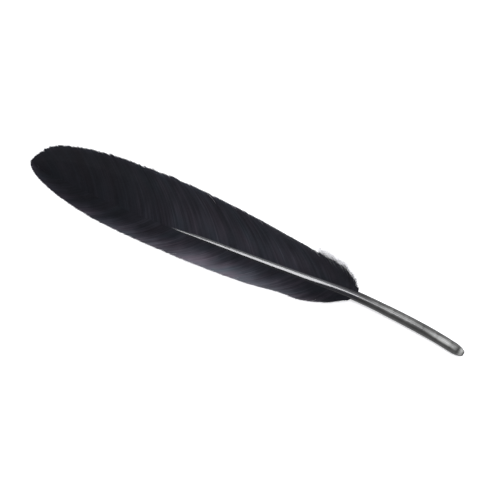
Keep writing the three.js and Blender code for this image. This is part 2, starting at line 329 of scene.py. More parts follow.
def ramp(tree, factor, stops):
    node = add_node(tree, "ShaderNodeValToRGB", {"Fac": factor})
    elements = node.color_ramp.elements
    while len(elements) < len(stops):
        elements.new(0.5)
    for element, (place, colour) in zip(elements, stops):
        element.position = place
        element.color = (*colour, 1)
    return node.outputs["Color"]


def grey(value):
    return (value, value, value)


def math_node(tree, operation, a, b):
    return add_node(tree, "ShaderNodeMath", {0: a, 1: b}, operation=operation).outputs["Value"]


def mix_colour(tree, factor, a, b, blend="MIX"):
    node = add_node(tree, "ShaderNodeMix", data_type="RGBA", blend_type=blend)
    for key, value in (("Factor", factor), ("A", a), ("B", b)):
        socket = next(s for s in node.inputs if s.name == key and s.enabled)
        if isinstance(value, bpy.types.NodeSocket):
            tree.links.new(value, socket)
        else:
            socket.default_value = value
    return next(s for s in node.outputs if s.enabled)


def noise(tree, vector, scale, detail, roughness=0.55):
    node = add_node(tree, "ShaderNodeTexNoise", {
        "Vector": vector, "Scale": scale, "Detail": detail, "Roughness": roughness})
    return node.outputs["Fac"]


def scaled(tree, vector, factors):
    node = add_node(tree, "ShaderNodeVectorMath", {0: vector, 1: factors}, operation="MULTIPLY")
    return node.outputs["Vector"]


def bump(tree, height, strength, depth):
    """A normal for relief that is depth millimetres deep."""
    node = add_node(tree, "ShaderNodeBump", {
        "Height": height, "Strength": strength, "Distance": depth * MM})
    return node.outputs["Normal"]


VANE_DYES_AND_SHEEN = [  # by tone: 0 is blackest, PALEST_TONE is the narrow vane's edge, made pale by painted sheen
    (0.0, (0.0022, 0.0023, 0.0032)), (0.25, (0.0045, 0.0048, 0.0064)),
    (0.5, (0.0092, 0.0096, 0.0123)), (0.75, (0.0235, 0.0232, 0.0285)),
    (1.0, (0.0600, 0.0585, 0.0680)), (1.5, (0.1700, 0.1660, 0.1860)),
]
PALEST_TONE = 1.5


def vane_material():
    """Dyed barbs: blue-black by tone, up to a lavender-grey that is painted sheen, with
    streaks along the barbs and barbules across them."""
    material, tree, shader = new_material("dyed_barbs")
    place = attribute(tree, "barb_place", "Vector")
    streaks = noise(tree, scaled(tree, place, (0.10, 2.0, 0.0)), 1.0, 5.0)
    offset = math_node(tree, "MULTIPLY", math_node(tree, "SUBTRACT", streaks, 0.5), 0.42)
    shade = math_node(tree, "ADD", attribute(tree, "tone"), offset)
    colour = ramp(tree, math_node(tree, "DIVIDE", shade, PALEST_TONE),
                  [(tone / PALEST_TONE, tone_colour) for tone, tone_colour in VANE_DYES_AND_SHEEN])
    hue = noise(tree, scaled(tree, place, (0.06, 0.16, 0.0)), 1.0, 2.0)
    tint = ramp(tree, hue, [(0.35, (0.88, 1.0, 1.06)), (0.65, (1.08, 0.96, 1.04))])
    tree.links.new(mix_colour(tree, 1.0, colour, tint, "MULTIPLY"), shader.inputs["Base Color"])
    rough = ramp(tree, streaks, [(0.2, grey(0.48)), (0.8, grey(0.62))])
    tree.links.new(rough, shader.inputs["Roughness"])
    barbules = add_node(tree, "ShaderNodeTexWave", {
        "Vector": place, "Scale": 8.0, "Distortion": 1.5, "Detail": 1.0},
        bands_direction="DIAGONAL")
    tree.links.new(bump(tree, barbules.outputs["Fac"], 0.25, 0.03),
                   shader.inputs["Normal"])
    shader.inputs["Specular IOR Level"].default_value = 0.08
    shader.inputs["Sheen Weight"].default_value = 0.04
    shader.inputs["Sheen Roughness"].default_value = 0.35
    shader.inputs["Sheen Tint"].default_value = (0.80, 0.80, 1.0, 1)
    return material


def horn_material(name, stops, polished, dull):
    """Dyed horn: its colour from stops by tone, its roughness between polished and
    dull by shine, with grain and finer scratches along it."""
    material, tree, shader = new_material(name)
    place = attribute(tree, "skin_place", "Vector")
    grain = noise(tree, scaled(tree, place, (0.12, 4.5, 4.5)), 1.0, 6.0, 0.6)
    blotch = noise(tree, scaled(tree, place, (0.30, 0.8, 0.8)), 1.0, 3.0)
    colour = ramp(tree, attribute(tree, "tone"), stops)
    streaked = mix_colour(tree, 0.6, colour, ramp(tree, grain, [
        (0.3, grey(0.40)), (0.7, grey(1.6))]), "MULTIPLY")
    mottled = mix_colour(tree, 0.5, streaked, ramp(tree, blotch, [
        (0.3, grey(0.6)), (0.7, grey(1.4))]), "MULTIPLY")
    tree.links.new(mottled, shader.inputs["Base Color"])
    scratches = noise(tree, scaled(tree, place, (0.5, 16.0, 16.0)), 1.0, 3.0, 0.7)
    marks = math_node(tree, "ADD", grain, scratches)
    wear_and_painted_sheen = math_node(tree, "MULTIPLY", math_node(tree, "SUBTRACT", marks, 1.0), 0.16)
    rough = ramp(tree, attribute(tree, "shine"), [(0.0, grey(dull)), (1.0, grey(polished))])
    tree.links.new(math_node(tree, "ADD", wear_and_painted_sheen, rough), shader.inputs["Roughness"])
    tree.links.new(bump(tree, marks, 0.25, 0.02), shader.inputs["Normal"])
    shader.inputs["IOR"].default_value = 1.54
    shader.inputs["Specular IOR Level"].default_value = 0.43
    return material


def dry_material(name, dark, light, scale):
    """The pith, the pulp's dried membranes and the down: matt and crinkled."""
    material, tree, shader = new_material(name)
    place = attribute(tree, "skin_place", "Vector")
    crinkle = noise(tree, place, scale, 6.0, 0.65)
    tree.links.new(ramp(tree, crinkle, [(0.3, dark), (0.7, light)]),
                   shader.inputs["Base Color"])
    tree.links.new(ramp(tree, crinkle, [(0.2, grey(0.7)), (0.8, grey(0.95))]),
                   shader.inputs["Roughness"])
    tree.links.new(bump(tree, crinkle, 0.6, 0.08), shader.inputs["Normal"])
    return material


VANE_BLACK = vane_material()
RACHIS_HORN = horn_material("rachis_horn", [
    (0.0, (0.006, 0.006, 0.008)), (1.0, (0.020, 0.020, 0.024))], 0.12, 0.60)
BARREL_HORN = horn_material("barrel_horn", [
    (0.0, (0.006, 0.006, 0.006)), (0.4, (0.056, 0.056, 0.053)), (1.0, (0.40, 0.404, 0.385))],
    0.20, 0.55)
PITH_FOAM = dry_material("pith_foam", (0.30, 0.28, 0.26), (0.55, 0.53, 0.50), 5.0)
MEMBRANE = dry_material("pulp_membrane", (0.16, 0.16, 0.17), (0.42, 0.42, 0.42), 2.5)
DOWN_GREY = dry_material("down", (0.02, 0.021, 0.026), (0.22, 0.22, 0.24), 0.8)


# ----------------------------------------------------------------------- shaft

BARREL_SIDES = 48
RACHIS_SIDES = 40
PITH_SIDES = 28
HORN_WANDER = 0.012  # how far the shaft's thickness varies, as a share of it
HORN_WAVES = [(31, 0.5), (11, 0.3), (4.3, 0.2)]
PIT_STATION = QUILL_LENGTH + 2.2  # where the barrel's hollow once opened, below
PIT_LENGTH = 1.3
PIT_DEPTH = 0.45  # as a share of the shaft's half height
PIT_WIDTH = 0.28  # as a share of its half width


def shaft_rings(x, half, sides, wander=0.0):
    """Rings of points round the shaft at distances x, with half widths half."""
    centre, _, sideways, up = shaft_at(x)
    angle = np.linspace(0, 2 * math.pi, sides, endpoint=False)
    on_rachis = smoothstep(x, QUILL_LENGTH, QUILL_LENGTH + SQUARING_LENGTH)[:, None]
    power = 1 - FLATTENING * on_rachis
    across = np.sign(np.cos(angle)) * np.abs(np.cos(angle)) ** power
    rise = np.sign(np.sin(angle)) * np.abs(np.sin(angle)) ** power
    groove = GROOVE_DEPTH * on_rachis * hump(across, 0, GROOVE_WIDTH)
    rise = np.where(rise < 0, rise + groove, rise)
    pit = PIT_DEPTH * hump(x, PIT_STATION, PIT_LENGTH)[:, None] * hump(across, 0, PIT_WIDTH)
    rise = np.where(rise < 0, rise + pit, rise)
    twist = TWIST * (smoothstep(x, 42, 60) * (1 - smoothstep(x, 100, 130)))[:, None]
    across, rise = (across * np.cos(twist) - rise * np.sin(twist),
                    across * np.sin(twist) + rise * np.cos(twist))
    half = np.asarray(half)[:, None] * (1 + wander * ripple(x, HORN_WAVES, 5)[:, None])
    height = half * (1 + (HEIGHT_TO_WIDTH - 1) * on_rachis)
    return (centre[:, None] + sideways[:, None] * (half * across)[..., None]
            + up[:, None] * (height * rise)[..., None])


def skin_place(x, half, sides):
    """Distance along the shaft and round it, in millimetres, for the grain."""
    angle = np.linspace(-math.pi, math.pi, sides, endpoint=False)
    x, angle = np.broadcast_arrays(np.asarray(x, float)[:, None], angle)
    half = np.broadcast_to(np.asarray(half)[:, None], x.shape)
    return np.stack([x, np.cos(angle) * half, np.sin(angle) * half], -1)


def across_the_shaft(x, sides):
    """Where the points of rings at x lie: -1 at the wide vane's flank, 1 at the other."""
    angle = np.linspace(0, 2 * math.pi, sides, endpoint=False)
    return np.cos(angle) * np.ones((len(x), 1))


def shine(x, sides):
    """About 1 along the shaft's back and belly, 0 at its flanks and its thin end."""
    flank = smoothstep(np.abs(across_the_shaft(x, sides)), 0.60, 0.88)
    along = (0.88 + 0.12 * smoothstep(x, 46, 58)) * (1 - smoothstep(x, 102, 110))
    return (1 - flank) * along[:, None]


def rachis_tone(x, sides):
    """1 along the back and the belly at the barrel, 0 at the flanks as painted shade, and 0 from
    x 90 on.
    """
    flank = smoothstep(np.abs(across_the_shaft(x, sides)), 0.3, 0.8)
    return (1 - smoothstep(x, QUILL_LENGTH, 90.0))[:, None] * (1 - flank)


BARREL_TONE = 0.42
BARREL_END_TONE = 0.14  # the barrel's tone that looks like the shaft's tone of 1
BARREL_WAVES = [(17, 0.6), (7.1, 0.4)]


def barrel_rings(x):
    """Tone along the barrel: dark at each pulp cap's rim and paler just tipwards of it,
    and at the quill's end a dark rim, a pale ring that is a painted highlight on the
    rounded end, and a dark one."""
    tone = BARREL_TONE + 0.10 * ripple(x, BARREL_WAVES, 9)
    for i in range(PULP_CAPS):
        rim = PULP_CAP_FIRST + PULP_CAP_PITCH * i - PULP_CAP_DEPTH
        tone = tone - 0.10 * hump(x, rim, 0.35) + 0.06 * hump(x, rim + 1.1, 0.5)
    # a painted highlight ring on the rounded end, and a paler end
    tone = tone + 0.38 * hump(x, 1.2, 0.7) + 0.10 * (1 - smoothstep(x, 3, 6))
    return tone - 0.20 * hump(x, 2.5, 0.6) - 0.60 * hump(x, 0, 0.4)


def joining(x):
    """0 along the barrel, rising to 1 where it turns into the shaft."""
    return smoothstep(x, QUILL_LENGTH - 8, QUILL_LENGTH)[:, None]


def barrel_tone(x, sides):
    """Painted shade: 0 at the flanks and darker on the narrow vane's side. Painted
    highlight: pale along one line. Pale in a patch near the end, partly paler horn and
    partly painted light. It turns into the shaft's colour where they join."""
    across = across_the_shaft(x, sides)
    # painted shade: the flanks are darkened, the back and the belly are not
    lit = smoothstep(across, -0.97, -0.70) * (1 - smoothstep(across, 0.70, 0.95))
    # painted shade on the narrow vane's side, less of it at the very end
    shaded = 0.45 * smoothstep(across, 0.05, 0.45) * smoothstep(x, 1, 6)[:, None]
    # painted highlight: a pale line a little towards the wide vane's side
    line = 0.27 * smoothstep(x, 12, 16)[:, None] * hump(across, -0.37, 0.13)
    # pale near the end: partly the end's paler horn, partly painted light, kept off the flanks
    patch = 0.50 * hump(x, 8.7, 4.1)[:, None]
    patch = patch * smoothstep(across, -0.65, -0.25) * (1 - smoothstep(across, 0.05, 0.65))
    tone = barrel_rings(x)[:, None] * lit * (1 - shaded) + line + patch
    end_tone = BARREL_END_TONE * rachis_tone(x, sides)
    return np.clip(tone + joining(x) * (end_tone - tone), 0, 1)


def barrel_shine(x, sides):
    """As the shaft's, but the barrel is scuffed from its middle to the narrow vane's side."""
    scuffed = 0.45 * smoothstep(across_the_shaft(x, sides), -0.15, 0.15)
    return shine(x, sides) * (1 - (1 - joining(x)) * scuffed)


LIP_LENGTH = 0.6
LIP_DEPTH = 0.12  # how far the lip closes in, as a share of the barrel's radius
WALL_THICKENING = 0.18  # of the wall, for each millimetre into the rounded end
CRISP = 0.02  # between the two rings that make a crisp edge


def barrel_lip(x):
    """The barrel closes in to a rounded lip at its very end."""
    return 1 - LIP_DEPTH * (1 - np.sqrt(1 - np.clip(1 - x / LIP_LENGTH, 0, 1) ** 2))


def build_barrel():
    """The horn tube: its outside, its inside and the opening in its end. The rings are
    closer together where the end is rounded."""
    outer = np.concatenate([
        [0, 0.04, 0.12, 0.25, 0.45, 0.7, 1.0, 1.4, 1.9, 2.5],
        np.linspace(3.2, BARREL_END - CRISP, 90), [BARREL_END]])
    inner = np.concatenate([
        [BARREL_END, BARREL_END - CRISP], np.linspace(QUILL_LENGTH - 0.5, END_ROUNDING, 40),
        [3.2, 2.4, 1.6, 1.05]])
    wall = BARREL_WALL + WALL_THICKENING * np.maximum(END_ROUNDING - inner, 0)
    bore = np.array([0.8, 0.6, 0.35, 0.12, 0.0])
    bore_radius = END_HOLE_RADIUS * np.array([1.0, 0.95, 0.95, 1.0, 1.12])
    stations = [(outer, barrel_radius(outer) * barrel_lip(outer)),
                (inner, barrel_radius(inner) - wall), (bore, bore_radius)]
    points = np.concatenate([
        shaft_rings(x, half, BARREL_SIDES, HORN_WANDER) for x, half in stations])
    places = np.concatenate([skin_place(x, half, BARREL_SIDES) for x, half in stations])
    tone = np.concatenate([barrel_tone(x, BARREL_SIDES) for x, _ in stations])
    polish = np.concatenate([barrel_shine(x, BARREL_SIDES) for x, _ in stations])
    faces = ring_faces(len(points), BARREL_SIDES, closed_path=True)
    make_piece("quill_barrel", points.reshape(-1, 3), faces, BARREL_HORN,
               ["calamus_barrel"], {"tone": tone, "shine": polish}, {"skin_place": places})


THREAD_LENGTH = 4.2  # how far the shaft's last thread runs on between the tip's barbs
THREAD_TAPER = 16.0  # the stretch before it over which the shaft thins to the thread
THREAD_THINNING = 0.75
THREAD_POINT = 0.1  # the length of its pointed end


def build_rachis():
    """The horn skin: a closed cup open towards the barrel, thinning to a thread."""
    sides = RACHIS_SIDES
    last = SHAFT_LENGTH + THREAD_LENGTH
    first = BARREL_END - SKIN_LAP
    outer = np.concatenate([[first], np.linspace(first + CRISP, last, 300)])
    thinning = THREAD_THINNING * smoothstep(outer, SHAFT_LENGTH - THREAD_TAPER, last)
    half = rachis_width(outer) / 2 * (1 - thinning)
    inner = np.concatenate([np.linspace(CAVITY_END, first + CRISP, 90), [first]])
    inner_half = rachis_width(inner) / 2 - CORTEX_WALL
    points = np.concatenate([
        shaft_rings(inner, inner_half, sides),
        shaft_rings(outer, half, sides, HORN_WANDER)])
    places = np.concatenate([
        skin_place(inner, inner_half, sides), skin_place(outer, half, sides)])
    tone = rachis_tone(np.concatenate([inner, outer]), sides).ravel()
    polish = shine(np.concatenate([inner, outer]), sides).ravel()
    count = len(points)
    points = points.reshape(-1, 3)
    faces = ring_faces(count, sides)
    ends = [points[:sides].mean(0), points[-sides:].mean(0) + (THREAD_POINT, 0, 0)]
    base = count * sides
    faces += [(base, (k + 1) % sides, k) for k in range(sides)]
    top = (count - 1) * sides
    faces += [(base + 1, top + k, top + (k + 1) % sides) for k in range(sides)]
    make_piece("rachis_skin", np.vstack([points, ends]), faces, RACHIS_HORN,
               ["rachis_cortex"],
               {"tone": np.append(tone, [0, 0]), "shine": np.append(polish, [0, 0])},
               {"skin_place": np.vstack([places.reshape(-1, 3), ends])})


# ----------------------------------------------------------------------- barbs

def barb_roots(x, side):
    """Where barbs rooted at distances x leave the shaft: inside its shoulders at
    first, and from its middle on the thin end, where the wide vane's lie over the
    narrow vane's."""
    centre, _, sideways, _ = shaft_at(x)
    width = rachis_width(x)
    closing = smoothstep(x, 94, 110)
    root = centre + sideways * (side * (0.32 - 0.36 * closing) * width)[..., None]
    root[..., 2] += (0.30 + 0.15 * smoothstep(x, QUILL_LENGTH, 60) + 0.16 * closing) * width
    root[..., 2] -= ROOT_TUCK * closing * np.maximum(side, 0)
    return root


def barb_lines(root, edge, edge_height, bow, out):
    """Points on barbs from root to edge, out being 0 to 1 along each of them. A barb
    bows aside and turns down to edge_height as it goes."""
    span = edge - root[:, :2]
    length = np.linalg.norm(span, axis=1)
    aside = 4 * out * (1 - out) * bow[:, None]
    reach = 1 - np.exp(-((length / CAMBER_REACH) ** 2))
    fall = ((root[:, 2] - edge_height) * reach)[:, None] * out**CAMBER_POWER
    return np.stack([
        root[:, :1] + span[:, :1] * out - span[:, 1:] * aside,
        root[:, 1:2] + span[:, 1:] * out + span[:, :1] * aside,
        root[:, 2:] - fall,
    ], -1)


def vane_lines(vane, x, out):
    """Points on the barbs of a vane that are rooted at distances x."""
    return barb_lines(barb_roots(x, vane.side), vane.edge_point(vane.edge_share(x)),
                      vane.edge_height(x), np.full(len(x), vane.side * BARB_BOW), out)


TIP_RUN_ON = 3.0  # how far beyond the shaft's end the last barbs are rooted


def tip_lines(turn, out):
    """Barbs that fan round the shaft's end, from turn -1, the wide side, to 1."""
    away = np.abs(turn)
    x = TIP_STATION + (SHAFT_LENGTH + TIP_RUN_ON - TIP_STATION) * (1 - away)
    root = barb_roots(x, np.sign(turn) * np.minimum(1, away * 4))
    last = np.array([TIP_STATION])
    shares = [1 - (1 - v.edge_share(last)[0]) * away for v in (WIDE, NARROW)]
    edge = np.where((turn < 0)[:, None], WIDE.edge_point(shares[0]), NARROW.edge_point(shares[1]))
    heights = [v.edge_height(last)[0] for v in (WIDE, NARROW)]
    height = heights[0] + (heights[1] - heights[0]) * (turn + 1) / 2
    return barb_lines(root, edge, height, turn * BARB_BOW, out)


# One barb's cross-section: across it in shares of the gap to the next barb, and up
# from the web in millimetres. The side towards the tip lies on the next barb's near
# side, as hooked barbules do.
BARB_SECTION = [
    (-0.66, -0.030), (-0.20, 0.000), (0.0, 0.055), (0.20, 0.012), (0.66, 0.020),
    (0.20, -0.030), (0.0, -0.120), (-0.20, -0.040),
]
RIB_HALF_WIDTH = 0.06
RIB_AT_ROOT = 1.15  # the rib's height there, as a share of the section's
RIB_AT_END = 0.30
WEB_NARROWS = 0.95  # from this share of a barb's length its web narrows
WEB_NARROWING = 0.75  # by this share of its width
TABLE_CLEARANCE = 0.01


def barb_mesh(lines, across, gap, ramus):
    """Closed blades along lines. across points from each barb to the next one
    tipwards, gap is how far off that is, and ramus the rib's height as a share of
    the section's."""
    barbs, stations, _ = lines.shape
    along = unit(np.gradient(lines, axis=1))
    across = unit(across - along * (across * along).sum(-1, keepdims=True))
    up = np.cross(along, across)
    flip = np.sign(up[..., 2].mean())
    up = up * flip
    section = np.array(BARB_SECTION)
    count = len(section)
    wide = section[:, 0] * gap[..., None]
    rib = np.abs(section[:, 0]) < 0.5
    wide = np.where(rib, np.clip(wide, -RIB_HALF_WIDTH, RIB_HALF_WIDTH), wide)
    high = section[:, 1] * np.where(rib, ramus[..., None], 1.0)
    points = (lines[:, :, None] + across[:, :, None] * wide[..., None]
              + up[:, :, None] * high[..., None])
    faces = []
    for b in range(barbs):
        first = b * stations * count
        faces += ring_faces(stations, count, first)
        faces.append(tuple(first + k for k in reversed(range(count))))
        faces.append(tuple(first + (stations - 1) * count + k for k in range(count)))
    if flip > 0:
        faces = [tuple(reversed(face)) for face in faces]
    return points.reshape(-1, 3), faces, wide


def gap_between(lines_fn, x, out, step):
    """How far off each barb's neighbour is, rooted step further on, and the way to it."""
    here, there = lines_fn(x, out), lines_fn(x + step, out)
    along = unit(np.gradient(here, axis=1))
    offset = there - here
    offset -= along * (offset * along).sum(-1, keepdims=True)
    return np.linalg.norm(offset, axis=-1), unit(offset)


def barbs_of(lines_fn, x, step, stations, side, wander_of):
    """Points, faces, tones and places of the barbs at x; step leads tipwards."""
    out = np.linspace(0, 1, stations) ** 0.9
    reach, web, shift, lift, tone = wander_of(x, out)
    lines = lines_fn(x, out * reach[:, None])
    gap, across = gap_between(lines_fn, x, out * reach[:, None], step)
    lines = lines + across * shift[..., None]
    lines[..., 2] += lift
    gap = gap * web * (1 - WEB_NARROWING * smoothstep(out, WEB_NARROWS, 1.0))
    ramus = (RIB_AT_ROOT + (RIB_AT_END - RIB_AT_ROOT) * out) * np.ones((len(x), 1))
    points, faces, wide = barb_mesh(lines, across, gap, ramus)
    steps = np.linalg.norm(np.diff(lines, axis=1, prepend=lines[:, :1]), axis=2)
    length = np.cumsum(steps, axis=1)
    station = lines[:, :1, 0]
    place = np.stack(np.broadcast_arrays(
        length[..., None], station[..., None] + wide, (side * out)[None, :, None]), -1)
    tone = np.broadcast_to(tone[..., None], wide.shape)
    points[:, 2] = np.maximum(points[:, 2], TABLE_CLEARANCE)
    return points, faces, tone.ravel(), place.reshape(-1, 3)


def barb_piece(name, replaces, rows):
    """One piece from one or more rows of barbs."""
    points, faces = merge([row[:2] for row in rows])
    make_piece(name, points, faces, VANE_BLACK, replaces,
               {"tone": np.concatenate([row[2] for row in rows])},
               {"barb_place": np.vstack([row[3] for row in rows])})


WIDE_ADVANCE = 13.0  # how far tipwards of its root a barb ends
NARROW_ADVANCE = 8.0


def vane_tone(side, x, out):
    """The barbs' tone: the vanes are blackest at the tip and the base, and paler
    beside the shaft and towards the edges, most of all the narrow vane's, by painted sheen."""
    here = x + (WIDE_ADVANCE if side < 0 else NARROW_ADVANCE) * out
    tone = 0.53 - 0.25 * smoothstep(here, 102, 142) - 0.17 * (1 - smoothstep(here, 50, 64))
    if side < 0:
        # painted sheen: the wide vane is paler beside the shaft, less so towards the tip
        beside = 1 - 0.6 * smoothstep(here, 97, 112)
        tone = tone + 0.14 * beside * (1 - smoothstep(out, 0.12, 0.6))
        # painted sheen along the wide vane's outer edge
        return tone + 0.28 * smoothstep(out, 0.84, 1.0) * smoothstep(here, 58, 72)
    # painted sheen: the narrow vane pales towards its edge, most along its middle
    wear_and_painted_sheen = 0.15 + 0.45 * smoothstep(here, 50, 62) + 0.40 * smoothstep(here, 62, 76)
    wear_and_painted_sheen = wear_and_painted_sheen - 0.46 * smoothstep(here, 92, 102) - 0.18 * smoothstep(here, 125, 150)
    inner = 0.12 + 0.20 * smoothstep(here, 94, 112)
    return tone + 0.02 + wear_and_painted_sheen * np.clip((out - inner) / (0.9 - inner), 0, 1)


def looseness(vane, x):
    """How loose the barbs at x hang: 1 at the wide vane's downy foot, 0 where it is firm."""
    return (1.0 if vane is WIDE else 0.4) * (1 - smoothstep(x, 41, 53))


SPLITS = {  # where a vane has come unzipped: distance of the root, opening at the edge
    "wide": [(57.0, 0.02), (83.0, 0.03), (104.0, 0.01), (127.0, 0.02)],
    "narrow": [(66.0, 0.01), (92.0, 0.02), (119.0, 0.02)],
}
SPLIT_FADE = 2.2  # how far from a split its barbs are pulled aside

# Waves of (length, weight) along the feather, in millimetres
SHIFT_WAVES = [(9, 0.5), (4.2, 0.3), (2.3, 0.2)]
LIFT_WAVES = [(23, 0.6), (11, 0.4)]
FINE_LIFT_WAVES = [(5.3, 0.5), (2.4, 0.3), (1.3, 0.2)]
TONE_WAVES = [(13, 0.4), (5.1, 0.35), (2.2, 0.25)]
CLOUD_WAVES = [(6, 0.6), (3, 0.4)]


def vane_wander(vane, seed):
    """What makes each barb its own: its length, web, place, lift and tone."""
    local = np.random.default_rng(seed)

    def wander(x, out):
        row = x[:, None]
        loose = looseness(vane, row)
        jitter = local.standard_normal((5, len(x), 1))
        reach = 1.01 + (0.012 + 0.05 * loose) * np.clip(jitter[0], -2, 2)
        web = 1 - 0.35 * loose * smoothstep(out, 0.25, 0.9)
        shift = 0.05 * ripple(row, SHIFT_WAVES, seed) * out**1.5
        shift = shift + (0.015 + 0.13 * loose) * jitter[1] * out**2
        for where, opening in SPLITS[vane.name]:
            beside = row - where
            pull = np.sign(beside) * np.exp(-np.abs(beside) / SPLIT_FADE) * opening
            shift = shift + pull * smoothstep(out, 0.35, 1.0)
        lift = 0.10 * ripple(row, LIFT_WAVES, seed + 1) * out**2
        lift = lift + 0.06 * ripple(row, FINE_LIFT_WAVES, seed + 3) * out
        lift = lift + (0.012 + 0.08 * loose) * jitter[2] * out
        tone = vane_tone(vane.side, row, out)
        tone = tone + 0.07 * ripple(row, TONE_WAVES, seed + 2) + 0.04 * jitter[3]
        tone = tone + 0.03 * ripple(out * 9 + row * 0.7, CLOUD_WAVES, seed)
        return reach[:, 0], web, shift, lift, np.clip(tone, 0, PALEST_TONE)

    return wander


WIDE_STATIONS = 20  # points along each barb
NARROW_STATIONS = 16


def build_vane(vane, seed):
    """A vane's pieces, each a group of neighbouring barbs."""
    start = vane.first + FIRST_BARB_OFFSET
    group = (TIP_STATION - start) / vane.groups
    per_group = round(group / BARB_PITCH)
    pitch = group / per_group
    wander = vane_wander(vane, seed)
    stations = WIDE_STATIONS if vane is WIDE else NARROW_STATIONS
    for i in range(vane.groups):
        x = start + group * i + pitch * np.arange(per_group)
        row = barbs_of(lambda x, out: vane_lines(vane, x, out), x, pitch, stations,
                       vane.side, wander)
        barb_piece(f"{vane.name}_barbs_{i + 1:02d}",
                   [f"{vane.name}_vane_barbs_{i + 1:02d}"], [row])


TIP_BARBS = 22  # on each side
TIP_TONE_STATION = 150.0  # the tip's barbs take the tone, painted sheen included, that a vane's would have here


def build_tip(seed):
    """The fan of barbs round the shaft's end, from each vane to the middle."""
    local = np.random.default_rng(seed)

    def wander(turn, out):
        jitter = local.standard_normal((4, len(turn), 1))
        reach = 1 + 0.012 * np.clip(jitter[0, :, 0], -2, 2)
        tone = vane_tone(np.sign(turn.mean()), TIP_TONE_STATION, out) + 0.03 * jitter[3]
        return reach, 1.0, 0.03 * jitter[1] * out**2, 0.01 * jitter[2] * out, tone

    rows = []
    for side in (-1, 1):
        turn = side * np.linspace(1, 0.02, TIP_BARBS)
        rows.append(barbs_of(tip_lines, turn, turn[1] - turn[0], NARROW_STATIONS, side,
                             wander))
    barb_piece("tip_fan", ["tip_barbs"], rows)


# --------------------------------------------------------- inside the shaft

CUP_SIDES = 32
CUP_STEPS = 12
CUP_PINHOLE = 0.06  # radians from the crown to where the skins begin
CUP_FOLDS = 7
CUP_CRIMP = 0.05  # the folds' depth as a share of the cup's radius
CUP_SKINS = [(PULP_CAP_RADIUS, 0.0), (PULP_CAP_RADIUS - 0.07, -0.08)]  # radius and top


def build_pulp_cups():
    """Crimped cups of dried membrane in the barrel, crown towards the tip."""
    local = np.random.default_rng(77)
    for i in range(PULP_CAPS):
        x0 = PULP_CAP_FIRST + PULP_CAP_PITCH * i
        centre, tangent, sideways, up = (v[0] for v in shaft_at(np.array([x0])))
        turn = np.linspace(CUP_PINHOLE, math.pi / 2, CUP_STEPS)
        angle = np.linspace(0, 2 * math.pi, CUP_SIDES, endpoint=False)
        crimp = 1 + CUP_CRIMP * np.sin(CUP_FOLDS * angle + local.uniform(0, 6))
        rows = []
        for radius, top in CUP_SKINS:
            r = radius * np.sin(turn)[:, None] * (1 + (crimp - 1) * np.sin(2 * turn)[:, None])
            z = top - (top + PULP_CAP_DEPTH) * (1 - np.cos(turn))[:, None] + 0 * angle
            ring = (centre + tangent * z[..., None]
                    + sideways * (r * np.cos(angle))[..., None]
                    + up * (r * np.sin(angle))[..., None])
            rows.append(ring[::-1] if top == 0 else ring)
        points = np.concatenate(rows)
        faces = ring_faces(len(points), CUP_SIDES, closed_path=True)
        place = points.reshape(-1, 3)
        make_piece(f"pulp_cup_{i + 1}", place, faces, MEMBRANE,
                   [f"pulp_cap_{i + 1}"], None, {"skin_place": place})


PITH_CLEARANCE = 0.03
PITH_ROUGHNESS = 0.05  # as a share of its radius


def build_pith():
    """The foam that fills the rachis's skin."""
    sides = PITH_SIDES
    x = np.linspace(QUILL_LENGTH + 0.3, PITH_END, 120)
    half = rachis_width(x) / 2 - CORTEX_WALL - PITH_CLEARANCE
    points = shaft_rings(x, half, sides)
    local = np.random.default_rng(12)
    centre = shaft_at(x)[0][:, None]
    shrink = PITH_ROUGHNESS * local.random((len(x), sides, 1))
    flat = (centre + (points - centre) * (1 - shrink)).reshape(-1, 3)
    faces = ring_faces(len(x), sides) + end_caps(len(x), sides)
    make_piece("pith_core", flat, faces, PITH_FOAM, ["rachis_pith"],
               None, {"skin_place": flat})


# ------------------------------------------------------------------------ down

DOWN_TUFTS = 4
DOWN_BARBS = 30  # in each tuft
DOWN_STEPS = 14
DOWN_FIRST = 41.2  # where the first tuft leaves the shaft
DOWN_PITCH = 1.2
DOWN_FIRST_SHARE = 0.035  # where it crosses the wide vane's edge, as a share of that
DOWN_SHARE_PITCH = 0.033
DOWN_CLEARANCE = 0.02
DOWN_ROOT_ASIDE = 0.45 * RACHIS_WIDTH  # from the shaft's middle
DOWN_ROOT_BELOW = 0.9
DOWN_RAMUS = 0.045  # a downy barb's radius at its root
BARBULE_RADIUS = 0.024
BARBULES_FROM = 0.35  # shares of a downy barb's length
BARBULES_TO = 0.99
BARBULE_PITCH = 0.045
STRAND_TAPER = 0.35  # a strand's thickness at its end, as a share of that at its root


def strand(line, radius, sides):
    """A tapering hair along line."""
    along = unit(np.gradient(line, axis=0))
    across = unit(np.cross(along, (0, 0, 1.0)))
    up = np.cross(along, across)
    angle = np.linspace(0, 2 * math.pi, sides, endpoint=False)
    r = radius * np.linspace(1, STRAND_TAPER, len(line))[:, None]
    points = (line[:, None] + across[:, None] * (r * np.cos(angle))[..., None]
              + up[:, None] * (r * np.sin(angle))[..., None])
    faces = ring_faces(len(line), sides) + end_caps(len(line), sides)
    return points.reshape(-1, 3), faces


